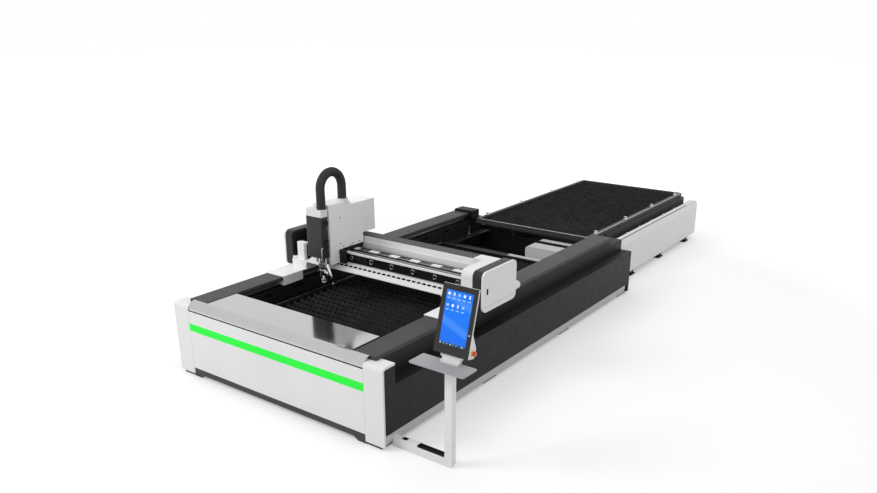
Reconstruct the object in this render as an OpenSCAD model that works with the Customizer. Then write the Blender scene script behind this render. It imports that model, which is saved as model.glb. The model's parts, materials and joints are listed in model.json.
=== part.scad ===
// Fibre laser cutting machine: a gantry on a long bed, two slatted pallets on a shuttle table
// and an operator console. Millimetres, +Z up, +X towards the console, +Y towards the table.
// The origin is on the floor, at the centre of the bed's four anchor holes.

/* [Bed] */
// Length of the bed
bed_len = 4870; // [4800:10:5200]
// Width of each long beam
beam_w = 245; // [235:1:255]
// Height of the beam tops above the floor
beam_top = 749; // [740:1:770]
// Width of the trays beside the beams
tray_w = 143; // [130:1:180]
// Height of the side trays above the floor
tray_top = 556; // [520:1:590]
// Thickness of the rail covers and of the front plate
cover_t = 34; // [28:1:40]
// Depth of the front housing
front_d = 160; // [150:1:180]
// Height of the coloured stripe on the front
stripe_h = 78; // [50:1:110]

/* [Pallets] */
// Width of each pallet
pallet_w = 1716; // [1690:2:1720]
// Clearance from a pallet to the bed's beams
pallet_gap = 87; // [84:1:100]
// Length of each pallet
pallet_len = 3256; // [3200:2:3300]
// Height of the pallet frame
pallet_h = 62; // [56:1:68]
// Height of the lower pallet's top above the floor
lower_top = 555; // [550:1:560]
// Height between the two pallet levels
level_gap = 154; // [152:1:156]
// Distance from one slat to the next
slat_pitch = 100; // [90:1:140]
// Thickness of a slat
slat_t = 4; // [3:0.5:6]
// Teeth on each slat
tooth_count = 24; // [16:1:30]

/* [Shuttle table] */
// Width of each of the table's sides
table_side_w = 115; // [100:1:140]
// Length of the table sides
table_len = 3100; // [3060:10:3200]
// Height of the table's side flanges above the floor
flange_z = 592; // [580:1:600]

/* [Gantry] */
// Distance from the bed's front to the gantry's end housings
gantry_y = 1475; // [1440:5:1700]
// Length of the end housings
end_len = 591; // [560:1:620]
// Height of the end housings
end_h = 398; // [380:1:420]
// Height of the legs between saddle and beam
leg_h = 88; // [80:1:96]
// Height of the beam
beam_h = 135; // [125:1:145]
// Distance between the ring bosses on the beam
ring_pitch = 269; // [220:1:300]

/* [Carriage and head] */
// Distance from the beam's left end to the carriage
carriage_park = 392; // [380:1:1600]
// Width of the carriage
carriage_w = 219; // [210:1:230]
// Height of the carriage housing
housing_h = 445; // [420:1:470]
// Diameter of the cable hose
hose_d = 96; // [70:1:100]
// Height of the hose arch above the head
hose_rise = 400; // [360:5:450]
// Gap between the nozzle tip and the upper pallet
tip_gap = 5; // [3:1:20]

/* [Console] */
// Distance from the bed's side to the console post
console_reach = 561; // [520:1:660]
// Height of the keyboard tray
tray_z = 893; // [850:1:950]
// Width of the keyboard tray
board_w = 510; // [440:1:560]
// Depth of the keyboard tray
board_d = 190; // [170:1:220]
// Width of the monitor
monitor_w = 322; // [300:1:360]
// Height of the monitor along its face
monitor_h = 535; // [500:1:580]
// Backward lean of the monitor
monitor_lean = 15.5; // [10:0.5:20]

/* [Hidden] */
$fn = 40;
// Cuts run past a face by this much
over = 1;
// Clearance of a piece that slides in another, or stands beside it
seat = 0.3;
// Steps in a quarter turn of an outline
arc_steps = 8;

// Paints
white = [0.88, 0.88, 0.88];
pale = [0.78, 0.78, 0.78];
grey = [0.32, 0.32, 0.32];
black = [0.13, 0.13, 0.14];
steel = [0.62, 0.63, 0.65];
green = [0.22, 0.9, 0.3];
copper = [0.72, 0.45, 0.25];
red = [0.8, 0.08, 0.06];
yellow = [0.95, 0.78, 0.1];

// Bed
beam_in = pallet_w / 2 + pallet_gap;
beam_out = beam_in + beam_w;
half_w = beam_out + tray_w;
cover_top = beam_top + cover_t;
beam_low = 60;
rebate_d = 55;
rebate_h = 69;
rebate_x = beam_in + rebate_d;
rebate_z = beam_top - rebate_h;
shoulder_drop = 66;
shoulder_z = beam_top - shoulder_drop;
cover_y0 = 93;
rear_gap = 330;
cover_y1 = bed_len - rear_gap;
cover_edge = 6;
slot_y0 = 762;
slot_pitch = 452;
slot_count = floor((cover_y1 - slot_y0) / slot_pitch);
slot_len = 155;
slot_h = 32;
slot_deep = 30;
slot_drop = 132;
slot_round = 12;

// Dust hopper between the beams, closed at the rear
hopper_t = 6;
hopper_z = 250;
hopper_low = 120;
hopper_flat = 300;
hopper_wall = 8;
hopper_top = 470;
hopper_half = beam_in - seat;
hopper_y1 = bed_len - hopper_wall;

// Front housing
post_w = 210;
fascia_half = half_w - post_w;
post_low = 27;
fascia_low = 95;
front_r = 40;
skin_t = 20;
seam_w = 3;
stripe_t = 2;
stripe_low = 489;
nose_r = 83;
nose_y = 8;
nose_in = 40;
nose_low = cover_top - nose_r;
nose_gap = 7;
fascia_top = nose_low - nose_gap;
brow_r = 14;
cover_gap = 2;
lip_y1 = cover_y0 - cover_gap;
plate_gap = 18;
plate_half = beam_in - plate_gap;
plate_y1 = 448;
kick_y = 5;
kick_t = 6;
kick_low = 34;
kick_foot_w = 85;
kick_slope = 51;
kick_foot_z = 3;

// Side panels, skirts and feet
panel_low = 129;
panel_r = 30;
rear_leg_w = 50;
rear_leg_low = post_low;
mark_len = 96;
mark_w = 18;
mark_gap = 120;
skirt_set = 8;
skirt_x = half_w - skirt_set;
skirt_t = 20;
skirt_fold = 80;
skirt_in = 14;
skirt_rear = 90;
foot_inset = 130;
foot_len = 232;
foot_t = post_low;
foot_under = 150;
foot_side = 40;
foot_x0 = beam_out - foot_under;
foot_x1 = half_w - foot_side;
stem_r = 30;
stem_in = 110;
stem_x = beam_out - stem_in;
stem_off = 72;
hole_r = 11;
hole_in = 88;
hole_x = half_w - hole_in;
foot_shares = [0, 1 / 3, 2 / 3, 1];
middle_share = 0.5;
cap_over = 60;
cap_in = beam_in - cap_over;
cap_rise = 31;
cap_top = cover_top + cap_rise;
cap_drop = 42;
cap_low = beam_top - cap_drop;
cap_gap = 15;
cap_y0 = cover_y1 + cap_gap;
cap_len = 160;
cap_r = 24;

// Pallets and their runners
upper_top = lower_top + level_gap;
runner_top = lower_top - pallet_h - seat;
ledge_reach = 58;
ledge_in = pallet_w / 2 - ledge_reach;
ledge_t = 15;
web_t = 45;
web_h = 190;
runner_y0 = 480;
cross_w = 122;
cross_h = 100;
cross_shares = [0.1437, 0.4784, 0.8142];
lower_y0 = 540;
upper_over = 266;
upper_y0 = bed_len - upper_over;
side_rail_w = 50;
end_bar_w = 40;
shelf_w = 18;
shelf_h = 12;
bay_count = 5;
bay_bar_w = 40;
bay_bar_h = 10;
slat_inset = 3;
tooth_h = 20;
tooth_flat_share = 0.16;
stop_count = 4;
stop_y0 = 245;
stop_w = 36;
stop_len = 64;
stop_base = 9;
stop_post_r = 9;
stop_h = 34;
stop_head_h = 8;
guide_r = 14;
guide_in = 40;
guide_x = beam_in - guide_in;
guide_rear = 40;
guide_y = cover_y1 - guide_rear;
guide_h = 118;
guide_base = 34;
guide_base_h = 16;

// Shuttle table
table_y0 = bed_len;
table_y1 = table_y0 + table_len;
table_step = 30;
table_in = beam_in + table_step;
table_out = table_in + table_side_w;
table_low = 78;
bevel_h = 77;
bevel_w = 18;
bevel_z = flange_z - bevel_h;
bevel_x = table_out - bevel_w;
groove_w = 6;
groove_deep = 4;
gutter_t = 4;
gutter_step = 10;
gutter_drop = 46;
table_cross_z = 90;
table_cross_h = 90;
table_cross_shares = [0.08, 0.5, 0.92];
table_cross_w = 90;
belly_t = 4;
belly_gap = 10;
belly_rear = 120;
table_foot_shares = [0.235, 0.56, 0.9];
foot_pad_t = 16;
foot_pad_w = 104;
foot_pad_len = 150;
foot_block_w = 70;
foot_block_len = 104;
drive_gap = 22;
drive_w = 853;
drive_x1 = ledge_in - drive_gap;
drive_x0 = drive_x1 - drive_w;
drive_front = 235;
drive_y0 = bed_len - drive_front;
drive_y1 = table_y0 + table_cross_shares[0] * table_len - table_cross_w / 2;
drive_drop = 55;
drive_top = runner_top - drive_drop;
drive_r = 40;

// Lift frame
lift_gap = 14;
lift_in = pallet_w / 2 + lift_gap;
lift_t = 22;
lift_out = lift_in + lift_t;
gutter_gap = 12;
gutter_in = lift_out + gutter_gap;
lift_front = 205;
lift_rear = 80;
lift_y0 = table_y0 + lift_front;
lift_y1 = table_y1 - lift_rear;
lift_top = upper_top - pallet_h - seat;
lift_low = runner_top - ledge_t;
tie_w = 80;
tie_h = 40;
tie_shares = [0.06, 0.5, 0.94];
cyl_shares = [0.2, 0.8];
cyl_r = 26;
cyl_h = 300;
cyl_floor = 16;
cyl_arm_w = 40;
cyl_arm_z = 100;
cyl_arm_h = 60;
rod_r = 16;
rod_fit = 0.05;
rod_low = 185;

// Linear rails: depth and width shares of a waisted section
rail_shares = [[0, -0.5], [0.3, -0.5], [0.5, -0.32], [0.7, -0.5], [1, -0.5],
    [1, 0.5], [0.7, 0.5], [0.5, 0.32], [0.3, 0.5], [0, 0.5]];
rail_h = 24;
rail_w = 28;
rail_end = 40;
y_rail_end = 8;
rail_z = (rebate_z + beam_top) / 2;

// Gantry, from the bed's front
saddle_gap = 3;
saddle_t = 6;
saddle_z = cover_top + saddle_gap + saddle_t;
saddle_front = 405;
saddle_rear = 815;
saddle_over = 15;
saddle_y0 = gantry_y - saddle_front;
saddle_y1 = gantry_y + saddle_rear;
saddle_in = beam_in - saddle_over;
saddle_out = beam_out + saddle_gap;
lug_t = 6;
lug_drop = 18;
lug_low = rail_z - lug_drop;
lug_len = 280;
lug_inset = 5;
truck_h = 44;
truck_in = 4;
leg_over = 40;
leg_front = 85;
leg_fillet = 36;
leg_in = beam_in - leg_over;
leg_w = 208;
leg_y0 = gantry_y - leg_front;
beam_z = saddle_z + leg_h;
deck_z = beam_z + beam_h;
front_set = 3;
face_set = 25;
beam_d = 490;
front_y = gantry_y + front_set;
face_y = gantry_y + face_set;
beam_y1 = face_y + beam_d;
fairing_w = 132;
beam_end = saddle_out - fairing_w;
lip_t = 30;
lip_h = 51;
ring_end = 45.5;
ring_room = 160;
ring_count = floor((2 * beam_end - ring_end - ring_room) / ring_pitch) + 1;
ring_r = 25;
ring_bore = 15;
ring_t = 10;
ring_drop = 12;
ring_z = deck_z - ring_drop;
apron_front = 90;
apron_edge = 8;
apron_drop = 83;
apron_rim_h = 14;
apron_gap = 21;
apron_y = gantry_y - apron_front;
apron_top = deck_z - apron_drop;
apron_rim = apron_top + apron_rim_h;
apron_in = leg_in - apron_gap;
dash_share = 0.2365;
dash_pitch = dash_share * ring_pitch;
dash_len = 46;
dash_w = 22;
dash_front = 35;
dash_floor = 8;
dash_shift = 16;
dash_room = 60;
dash_x1 = beam_end - ring_end - dash_shift;
dash_y = front_y - dash_front;
dash_count = floor((apron_in + dash_x1 - dash_room) / dash_pitch) + 1;
guard_rise = 32;
guard_h = 18;
guard_low = deck_z + guard_rise;
guard_top = guard_low + guard_h;
x_rail_set = 125;
x_rail_span = 170;
x_rail_ys = [gantry_y + x_rail_set, gantry_y + x_rail_set + x_rail_span];
rack_set = 200;
rack_y = gantry_y + rack_set;
rack_w = 22;
rack_h = 20;
rack_pitch = 16;
rack_tooth = 6;
rack_share = 0.25;
chain_set = 359;
chain_y = gantry_y + chain_set;
chain_lean = 13;
chain_rise = 131;
chain_top = deck_z + chain_rise;
chain_fold = 62;
chain_fold_in = 5;
chain_cut = 110;
chain_end = beam_end - chain_cut;
sheet_t = 4;
fold_z = deck_z + chain_fold;
lid_low = chain_top - sheet_t;
fairing_r = 70;
cave_gap = 12;
cave_wall = 20;
cave_drop = 36;
cave_d = 225;
cave_x0 = beam_end + cave_gap;
cave_x1 = saddle_out - cave_gap;
cave_y1 = gantry_y + cave_d;
cave_top = chain_top - cave_drop;
motor_x = (cave_x0 + cave_x1) / 2;
motor_set = 90;
motor_y = gantry_y + motor_set;
motor_w = 84;
motor_foot = 42;
motor_r = 38;
motor_h = 150;
motor_cap_r = 30;
motor_cap_h = 18;
motor_plate_t = 8;
bracket_in = 60;
bracket_d = 40;
bracket_w = 100;
bracket_gap = 5;
bracket_rise = 55;
bracket_x0 = leg_in + bracket_in;
bracket_x1 = bracket_x0 + bracket_w;
bracket_y1 = gantry_y - bracket_gap;
bracket_y0 = bracket_y1 - bracket_d;
bracket_top = deck_z + bracket_rise;
end_x0 = saddle_out;
end_w = 100;
end_x1 = end_x0 + end_w;
end_drop = 29;
end_low = cover_top - end_drop;
end_top = end_low + end_h;
end_r = 60;
end_t = 8;
end_plate_t = 21;
crease_rise = 52;
crease_z = end_low + crease_rise;
crease_w = 4;
vent_set = 67;
vent_rise = 175;
vent_y = gantry_y + vent_set;
vent_z = end_low + vent_rise;
vent_w = 12;
vent_h = 52;
bumper_r = 42;
bumper_len = 100;
bumper_tip_r = 34;
bumper_tip = 12;
bumper_in = 23;
bumper_rise = 100;
bumper_x = end_x1 - bumper_in;
bumper_z = end_low + bumper_rise;

// Carriage
carriage_x = carriage_park - beam_end;
car_x1 = carriage_x + carriage_w;
car_rise_z = 69;
car_z = deck_z + car_rise_z;
car_front = 167;
car_y0 = gantry_y - car_front;
car_leg_gap = 5;
car_leg_drop = 70;
car_leg_y = gantry_y - car_leg_gap;
car_leg_low = deck_z - car_leg_drop;
car_step_set = 336;
car_step_rise = 44;
car_step_y = gantry_y + car_step_set;
car_step_z = chain_top + car_step_rise;
car_rear = 534;
car_y1 = gantry_y + car_rear;
car_top = car_z + housing_h;
car_hump = 39;
car_hump_set = 165;
car_hump_y = gantry_y + car_hump_set;
car_hump_run = 20;
car_plate_in = 4;
car_plate_t = 34;
truck_w = 52;
truck_gap = 4;
wiper_w = 80;
wiper_t = 30;
wiper_gap = 4;
wiper_drop = 70;
wiper_y1 = car_leg_y - wiper_gap;
wiper_low = deck_z - wiper_drop;
z_rail_h = 14;
z_rail_w = 20;
z_rail_in = 30;
z_rail_foot = 10;
z_rail_head = 30;
z_rail_low = car_leg_low + z_rail_foot;
z_rail_top = car_top - z_rail_head;

// Head
head_over = 7;
head_d = 84;
head_gap = 24;
head_y1 = car_y0 - head_gap;
head_y0 = head_y1 - head_d;
head_rise = 20;
head_h = 431;
head_low = deck_z + head_rise;
head_top = head_low + head_h;
head_r = 18;
cap_h = 74;
slide_in = 6;
slide_gap = 2;
slide_foot = 45;
slide_head = 26;
slide_low = head_low + slide_foot;
slide_top = head_top - slide_head;
tool_in = 55;
tool_front = 60;
tool_x = car_x1 - tool_in;
tool_y = car_y0 - tool_front;
tip_z = upper_top + tip_gap;
tool_r_shares = [1, 1, 0.8, 0.8, 0.93, 0.93, 0.62, 0.42];
tool_z_shares = [1, 0.66, 0.62, 0.5, 0.48, 0.24, 0.16, 0];
tool_r = 42;
nozzle_len = 64;
tool_low = tip_z + nozzle_len;
nozzle_r = 15;
nozzle_tip_r = 4;
nozzle_ring = 14;
nozzle_hole = 1.5;
drawer_w = 92;
drawer_d = 74;
drawer_h = 56;
drawer_rise = 72;
drawer_z = tool_low + drawer_rise;

// Hose
hose_x = tool_x;
hose_r = hose_d / 2;
hose_set = 12;
hose_y0 = tool_y + hose_set;
hose_bend = 155;
hose_y1 = hose_y0 + 2 * hose_bend;
hose_z0 = head_top + cap_h;
hose_z = hose_z0 + hose_rise - hose_r - hose_bend;
collar_lip = 11;
collar_r = hose_r + collar_lip;
collar_h = 32;
collar_sink = 34;
collar_z = car_top + car_hump;

// Console
console_x = half_w + console_reach;
arm_y0 = 118;
arm_d = 56;
arm_h = 92;
arm_r = 26;
arm_slot_len = 270;
arm_slot_h = 16;
arm_slot_end = 6;
arm_slot_wall = 6;
arm_hole_gap = 80;
arm_hole_w = 50;
arm_hole_in = 8;
arm_hole_deep = 30;
arm_hole_x = half_w + arm_hole_gap;
post_half = 35;
post_x0 = console_x - post_half;
post_x1 = console_x + post_half;
arm_slot_x1 = post_x0 - arm_slot_end;
joint_z = 187;
joint_in = 2;
joint_h = 3;
board_shift = 27;
board_x = console_x - board_shift;
board_t = 12;
board_y1 = arm_y0 + arm_d;
board_y0 = board_y1 - board_d;
board_r = 14;
board_top = tray_z + board_t;
neck_w = 168;
neck_in = 4;
neck_y0 = arm_y0 + neck_in;
neck_h = 18;
neck_top = board_top + neck_h;
neck_web_t = 24;
pin_r = 7;
pin_fit = 0.05;
pin_y = 30;
pin_z = -14;
ear_t = 10;
ear_gap = 2;
ear_r = 14;
ear_rise = 20;
ear_in = neck_w / 2 + ear_gap;
ear_out = ear_in + ear_t;
mon_y = 139;
mon_rise = 79;
mon_z = tray_z + mon_rise;
hinge_y = mon_y + pin_y * cos(monitor_lean) + pin_z * sin(monitor_lean);
hinge_z = mon_z - pin_y * sin(monitor_lean) + pin_z * cos(monitor_lean);
glass_t = 6;
mon_t = 20;
mon_foot_d = 86;
mon_foot_z = 5;
mon_belly_d = 96;
mon_belly_z = 81;
mon_neck_z = 195;
estop_y = 55;
estop_z = 48;
estop_r = 22;
estop_t = 8;
estop_stem_r = 9;
estop_cap_r = 18;
estop_cap_t = 14;
estop_gap = 7;
estop_fit = 0.1;
estop_in = 5.5;
power_in = 21;
power_x = monitor_w / 2 - power_in;
power_z = 182;
power_r = 6;
power_out = 1.5;
power_fit = 0.15;
power_deep = 4;

// Outlines and placing

function arc(c, r, a0, a1) = [for (i = [0:arc_steps]) let (a = a0 + (a1 - a0) * i / arc_steps)
    [c[0] + r * cos(a), c[1] + r * sin(a)]];

function round_rect(x0, y0, x1, y1, r) = concat(
    arc([x1 - r, y1 - r], r, 0, 90), arc([x0 + r, y1 - r], r, 90, 180),
    arc([x0 + r, y0 + r], r, 180, 270), arc([x1 - r, y0 + r], r, 270, 360));

module from_front() translate([0, -bed_len / 2, 0]) children();

module both_sides() {
    children();
    mirror([1, 0, 0]) children();
}

module block(x0, x1, y0, y1, z0, z1) translate([x0, y0, z0]) cube([x1 - x0, y1 - y0, z1 - z0]);

// An XZ outline drawn out along Y
module along_y(y0, y1) translate([0, y1, 0]) rotate([90, 0, 0]) linear_extrude(y1 - y0) children();

// A YZ outline drawn out along X
module along_x(x0, x1) translate([x0, 0, 0]) rotate([90, 0, 90]) linear_extrude(x1 - x0) children();

module along_z(z0, z1) translate([0, 0, z0]) linear_extrude(z1 - z0) children();

module upright(x, y, r, z0, z1) translate([x, y, z0]) cylinder(r = r, h = z1 - z0);

module lying(y, z, r, x0, x1) translate([x0, y, z]) rotate([0, 90, 0]) cylinder(r = r, h = x1 - x0);

// Bed

module bed_beams() color(black) from_front() {
    both_sides() difference() {
        along_y(front_d, bed_len) polygon([[beam_in, beam_low], [beam_out, beam_low], [beam_out, beam_top],
            [rebate_x, beam_top], [rebate_x, rebate_z], [beam_in, rebate_z]]);
        block(beam_in - over, beam_out + over, cover_y1, bed_len + over, shoulder_z, beam_top + over);
        for (i = [0:slot_count - 1])
            translate([0, slot_y0 + i * slot_pitch, beam_top - slot_drop])
                along_x(beam_in - over, beam_in + slot_deep)
                    polygon(round_rect(0, 0, slot_len, slot_h, slot_round));
    }
    hopper();
}

// The folded dust hopper between the beams, with a rear wall round the drive cover
module hopper() difference() {
    union() {
        along_y(front_d, hopper_y1)
            polygon(concat(hopper_line(0), [for (i = [3:-1:0]) hopper_line(hopper_t)[i]]));
        block(-hopper_half, hopper_half, hopper_y1 - hopper_wall, hopper_y1, hopper_low, hopper_top);
    }
    block(drive_x0 - seat, drive_x1 + seat, drive_y0 - seat, bed_len + over, -over, drive_top + seat);
    both_sides() block(beam_in - web_t - seat, beam_in, runner_y0, bed_len + over,
        runner_top - web_h - seat, hopper_top + over);
}

function hopper_line(rise) = [[-hopper_half, hopper_z + rise], [-hopper_flat, hopper_low + rise],
    [hopper_flat, hopper_low + rise], [hopper_half, hopper_z + rise]];

module bed_crossbeams() color(black) from_front() for (s = cross_shares)
    translate([0, s * bed_len, 0]) block(-(beam_in - web_t), beam_in - web_t, 0, cross_w,
        lift_low - cross_h, lift_low);

module bed_runners() color(grey) from_front() both_sides() along_y(runner_y0, bed_len)
    polygon([[beam_in, runner_top - web_h], [beam_in, runner_top], [ledge_in, runner_top],
        [ledge_in, lift_low], [beam_in - web_t, lift_low], [beam_in - web_t, runner_top - web_h]]);

function cheek_arc() = arc([front_r, beam_top - front_r], front_r - skin_t, 90, 180);

module side_panels() color(black) from_front() both_sides() difference() {
    along_x(beam_out, half_w) polygon(concat(cheek_arc(),
        arc([skin_t + panel_r, panel_low + panel_r], panel_r, 180, 270),
        [[bed_len - rear_leg_w, panel_low], [bed_len - rear_leg_w, rear_leg_low], [bed_len, rear_leg_low],
        [bed_len, tray_top], [front_d, tray_top], [front_d, beam_top - skin_t]]));
    block(beam_out + mark_w, beam_out + mark_w + mark_len, bed_len - mark_gap, bed_len - mark_gap + mark_w,
        tray_top - mark_w, tray_top + over);
}

module side_skirts() color(pale) from_front() both_sides() along_y(skin_t, bed_len - skirt_rear)
    polygon([[skirt_x, panel_low], [skirt_x, skirt_fold], [skirt_x - skirt_in, post_low + seat],
        [skirt_x - skirt_in - skirt_t, post_low + seat], [skirt_x - skirt_t, skirt_fold],
        [skirt_x - skirt_t, panel_low]]);

module rail_covers() color(grey) from_front() both_sides() along_y(cover_y0, cover_y1)
    polygon([[beam_in, beam_top], [beam_out, beam_top], [beam_out, cover_top - cover_edge],
        [beam_out - cover_edge, cover_top], [beam_in + cover_edge, cover_top],
        [beam_in, cover_top - cover_edge]]);

module y_rails() color(steel) from_front() both_sides() along_y(front_d + y_rail_end, cover_y1 - y_rail_end)
    polygon([for (s = rail_shares) [rebate_x - s[0] * rail_h, rail_z + s[1] * rail_w]]);

module front_cover() color(white) from_front() difference() {
    along_x(-half_w, half_w) polygon(concat([[front_d, post_low], [front_d, beam_top]],
        arc([front_r, beam_top - front_r], front_r, 90, 180), [[0, post_low]]));
    both_sides() along_x(beam_out, half_w + over) polygon(concat(cheek_arc(),
        [[skin_t, post_low - over], [front_d + over, post_low - over], [front_d + over, beam_top - skin_t]]));
    block(-fascia_half, fascia_half, -over, front_d + over, post_low - over, fascia_low);
    block(-fascia_half, fascia_half, -over, stripe_t, stripe_low, stripe_low + stripe_h);
    block(-fascia_half, fascia_half, -over, nose_in, fascia_top, beam_top + over);
    along_x(-fascia_half, fascia_half)
        polygon(concat([[-over, fascia_top + over], [brow_r, fascia_top + over]],
        arc([brow_r, fascia_top - brow_r], brow_r, 90, 180), [[-over, fascia_top - brow_r]]));
    both_sides() block(fascia_half, fascia_half + seam_w, -over, seam_w, post_low - over, beam_top - front_r);
}

module front_stripe() color(green) from_front()
    block(seat - fascia_half, fascia_half - seat, 0, stripe_t,
        stripe_low + seat, stripe_low + stripe_h - seat);

// The plate rolls over the front housing in a round nose
module front_top_plate() color(pale) from_front() {
    along_x(seat - fascia_half, fascia_half - seat) polygon(concat([[lip_y1, beam_top], [lip_y1, cover_top]],
        arc([nose_y + nose_r, nose_low], nose_r, 90, 180),
        [[nose_in - seat, nose_low], [nose_in - seat, beam_top]]));
    block(-plate_half, plate_half, lip_y1, plate_y1, beam_top, cover_top);
}

module kick_plate() color(grey) from_front() {
    half = fascia_half - seat;
    foot = half - kick_foot_w;
    along_y(kick_y, kick_y + kick_t) polygon([[-half, fascia_low], [-half, kick_foot_z],
        [-foot, kick_foot_z], [kick_slope - foot, kick_low], [foot - kick_slope, kick_low],
        [foot, kick_foot_z], [half, kick_foot_z], [half, fascia_low]]);
}

module rear_cap() color(black) from_front() mirror([1, 0, 0]) along_y(cap_y0, cap_y0 + cap_len)
    polygon(concat([[beam_in, shoulder_z], [beam_out, shoulder_z]],
        arc([beam_out - cap_r, cap_top - cap_r], cap_r, 0, 90), [[cap_in, cap_top], [cap_in, cap_low],
        [beam_in, cap_low]]));

// The corner feet have an anchor hole each
module levelling_feet() color(black) from_front() both_sides() for (s = foot_shares)
    translate([0, foot_inset + s * (bed_len - 2 * foot_inset), 0]) difference() {
        union() {
            block(foot_x0, foot_x1, -foot_len / 2, foot_len / 2, 0, foot_t);
            upright(stem_x, s < middle_share ? stem_off : -stem_off, stem_r, 0, beam_low);
        }
        if (s == 0 || s == 1) upright(hole_x, 0, hole_r, -over, foot_t + over);
    }

module pallet_guides() color(steel) from_front() both_sides() {
    block(guide_x - guide_base / 2, guide_x + guide_base / 2, guide_y - guide_base, guide_y + guide_base,
        runner_top, runner_top + guide_base_h);
    upright(guide_x, guide_y, guide_r, runner_top, runner_top + guide_h);
}

// Shuttle table

module table_sides() color(white) from_front() both_sides() difference() {
    along_y(table_y0, table_y1) polygon([[table_in, table_low], [table_out, table_low], [table_out, bevel_z],
        [bevel_x, flange_z], [table_in, flange_z]]);
    block(bevel_x - 2 * groove_w, bevel_x - groove_w, table_y0 - over, table_y1 + over,
        flange_z - groove_deep, flange_z + over);
}

module table_gutters() color(grey) from_front() both_sides() along_y(table_y0, table_y1)
    polygon([[table_in, flange_z - gutter_step], [table_in, flange_z - gutter_step - gutter_t],
        [gutter_in, flange_z - gutter_drop - gutter_t], [gutter_in, flange_z - gutter_drop]]);

// The cross members carry a slag tray between the lift cylinders
module table_crossbeams() color(black) from_front() {
    half = lift_in - cyl_r - belly_gap;
    for (s = table_cross_shares) translate([0, table_y0 + s * table_len, 0])
        block(-table_in, table_in, -table_cross_w / 2, table_cross_w / 2,
            table_cross_z, table_cross_z + table_cross_h);
    block(-half, half, drive_y1 + belly_gap, table_y1 - belly_rear, table_cross_z - belly_t, table_cross_z);
}

module table_feet() color(black) from_front() both_sides() for (s = table_foot_shares)
    translate([(table_in + table_out) / 2, table_y0 + s * table_len, 0]) {
        block(-foot_pad_w / 2, foot_pad_w / 2, -foot_pad_len / 2, foot_pad_len / 2, 0, foot_pad_t);
        block(-foot_block_w / 2, foot_block_w / 2, -foot_block_len / 2, foot_block_len / 2, 0, table_low);
    }

module drive_cover() color(white) from_front() along_y(drive_y0, drive_y1)
    polygon(concat([[drive_x1, 0], [drive_x1, drive_top]],
        arc([drive_x0 + drive_r, drive_top - drive_r], drive_r, 90, 180), [[drive_x0, 0]]));

module at_corners(shares) from_front() both_sides() for (s = shares)
    translate([(lift_in + lift_out) / 2, lift_y0 + s * (lift_y1 - lift_y0), 0]) children();

module lift_cylinders() color(grey) at_corners(cyl_shares) difference() {
    union() {
        upright(0, 0, cyl_r, 0, cyl_h);
        block(0, table_in - (lift_in + lift_out) / 2, -cyl_arm_w / 2, cyl_arm_w / 2,
            cyl_arm_z, cyl_arm_z + cyl_arm_h);
    }
    upright(0, 0, rod_r + rod_fit, cyl_floor, cyl_h + over);
}

module lift_rods() color(steel) at_corners(cyl_shares) upright(0, 0, rod_r, rod_low, lift_low);

module lift_rails() color(grey) from_front() both_sides() along_y(lift_y0, lift_y1)
    polygon([[lift_out, lift_low], [lift_out, lift_top], [ledge_in, lift_top], [ledge_in, lift_top - ledge_t],
        [lift_in, lift_top - ledge_t], [lift_in, runner_top], [ledge_in, runner_top], [ledge_in, lift_low]]);

module lift_ties() color(grey) from_front() for (s = tie_shares)
    translate([0, lift_y0 + s * (lift_y1 - lift_y0), 0])
        block(-lift_out, lift_out, -tie_w / 2, tie_w / 2, lift_low - tie_h, lift_low);

// Pallets, from the middle of their front edge

module lower_place() from_front() translate([0, lower_y0, lower_top - pallet_h]) children();

module upper_place() from_front() translate([0, upper_y0, upper_top - pallet_h]) children();

module pallet_frame() {
    half = pallet_w / 2;
    rail_in = half - side_rail_w;
    both_sides() along_y(0, pallet_len) polygon([[half, 0], [half, pallet_h], [rail_in, pallet_h],
        [rail_in, shelf_h], [rail_in - shelf_w, shelf_h], [rail_in - shelf_w, 0]]);
    for (y = [0, pallet_len - end_bar_w]) block(-rail_in, rail_in, y, y + end_bar_w, 0, pallet_h);
    for (i = [1:bay_count - 1])
        translate([0, i * (pallet_len - bay_bar_w) / bay_count, 0])
            block(-rail_in, rail_in, 0, bay_bar_w, 0, bay_bar_h);
}

module pallet_slats() {
    reach = pallet_w / 2 - side_rail_w - slat_inset;
    pitch = 2 * reach / tooth_count;
    top = pallet_h;
    low = pallet_h - tooth_h;
    count = floor((pallet_len - 2 * end_bar_w) / slat_pitch);
    first = (pallet_len - (count - 1) * slat_pitch - slat_t) / 2;
    teeth = [for (i = [0:tooth_count - 1]) let (x = reach - i * pitch) each [[x, low],
        [x - pitch * (1 - tooth_flat_share) / 2, top], [x - pitch * (1 + tooth_flat_share) / 2, top]]];
    for (i = [0:count - 1]) translate([0, first + i * slat_pitch, 0]) along_y(0, slat_t)
        polygon(concat([[-reach, low], [-reach, shelf_h], [reach, shelf_h]], teeth));
}

module pallet_stops() both_sides() for (i = [0:stop_count - 1])
    translate([pallet_w / 2 - side_rail_w / 2, stop_y0 + i * (pallet_len - 2 * stop_y0) / (stop_count - 1),
        pallet_h]) {
        block(-stop_w / 2, stop_w / 2, -stop_len / 2, stop_len / 2, 0, stop_base);
        upright(0, 0, stop_post_r, 0, stop_h);
        block(-stop_w / 2, stop_w / 2, -stop_w / 2, stop_w / 2, stop_h - stop_head_h, stop_h);
    }

module lower_pallet_frame() color(pale) lower_place() pallet_frame();

module lower_pallet_slats() color(grey) lower_place() pallet_slats();

module lower_pallet_stops() color(steel) lower_place() pallet_stops();

module upper_pallet_frame() color(pale) upper_place() pallet_frame();

module upper_pallet_slats() color(grey) upper_place() pallet_slats();

module upper_pallet_stops() color(steel) upper_place() pallet_stops();

// Gantry

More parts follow.
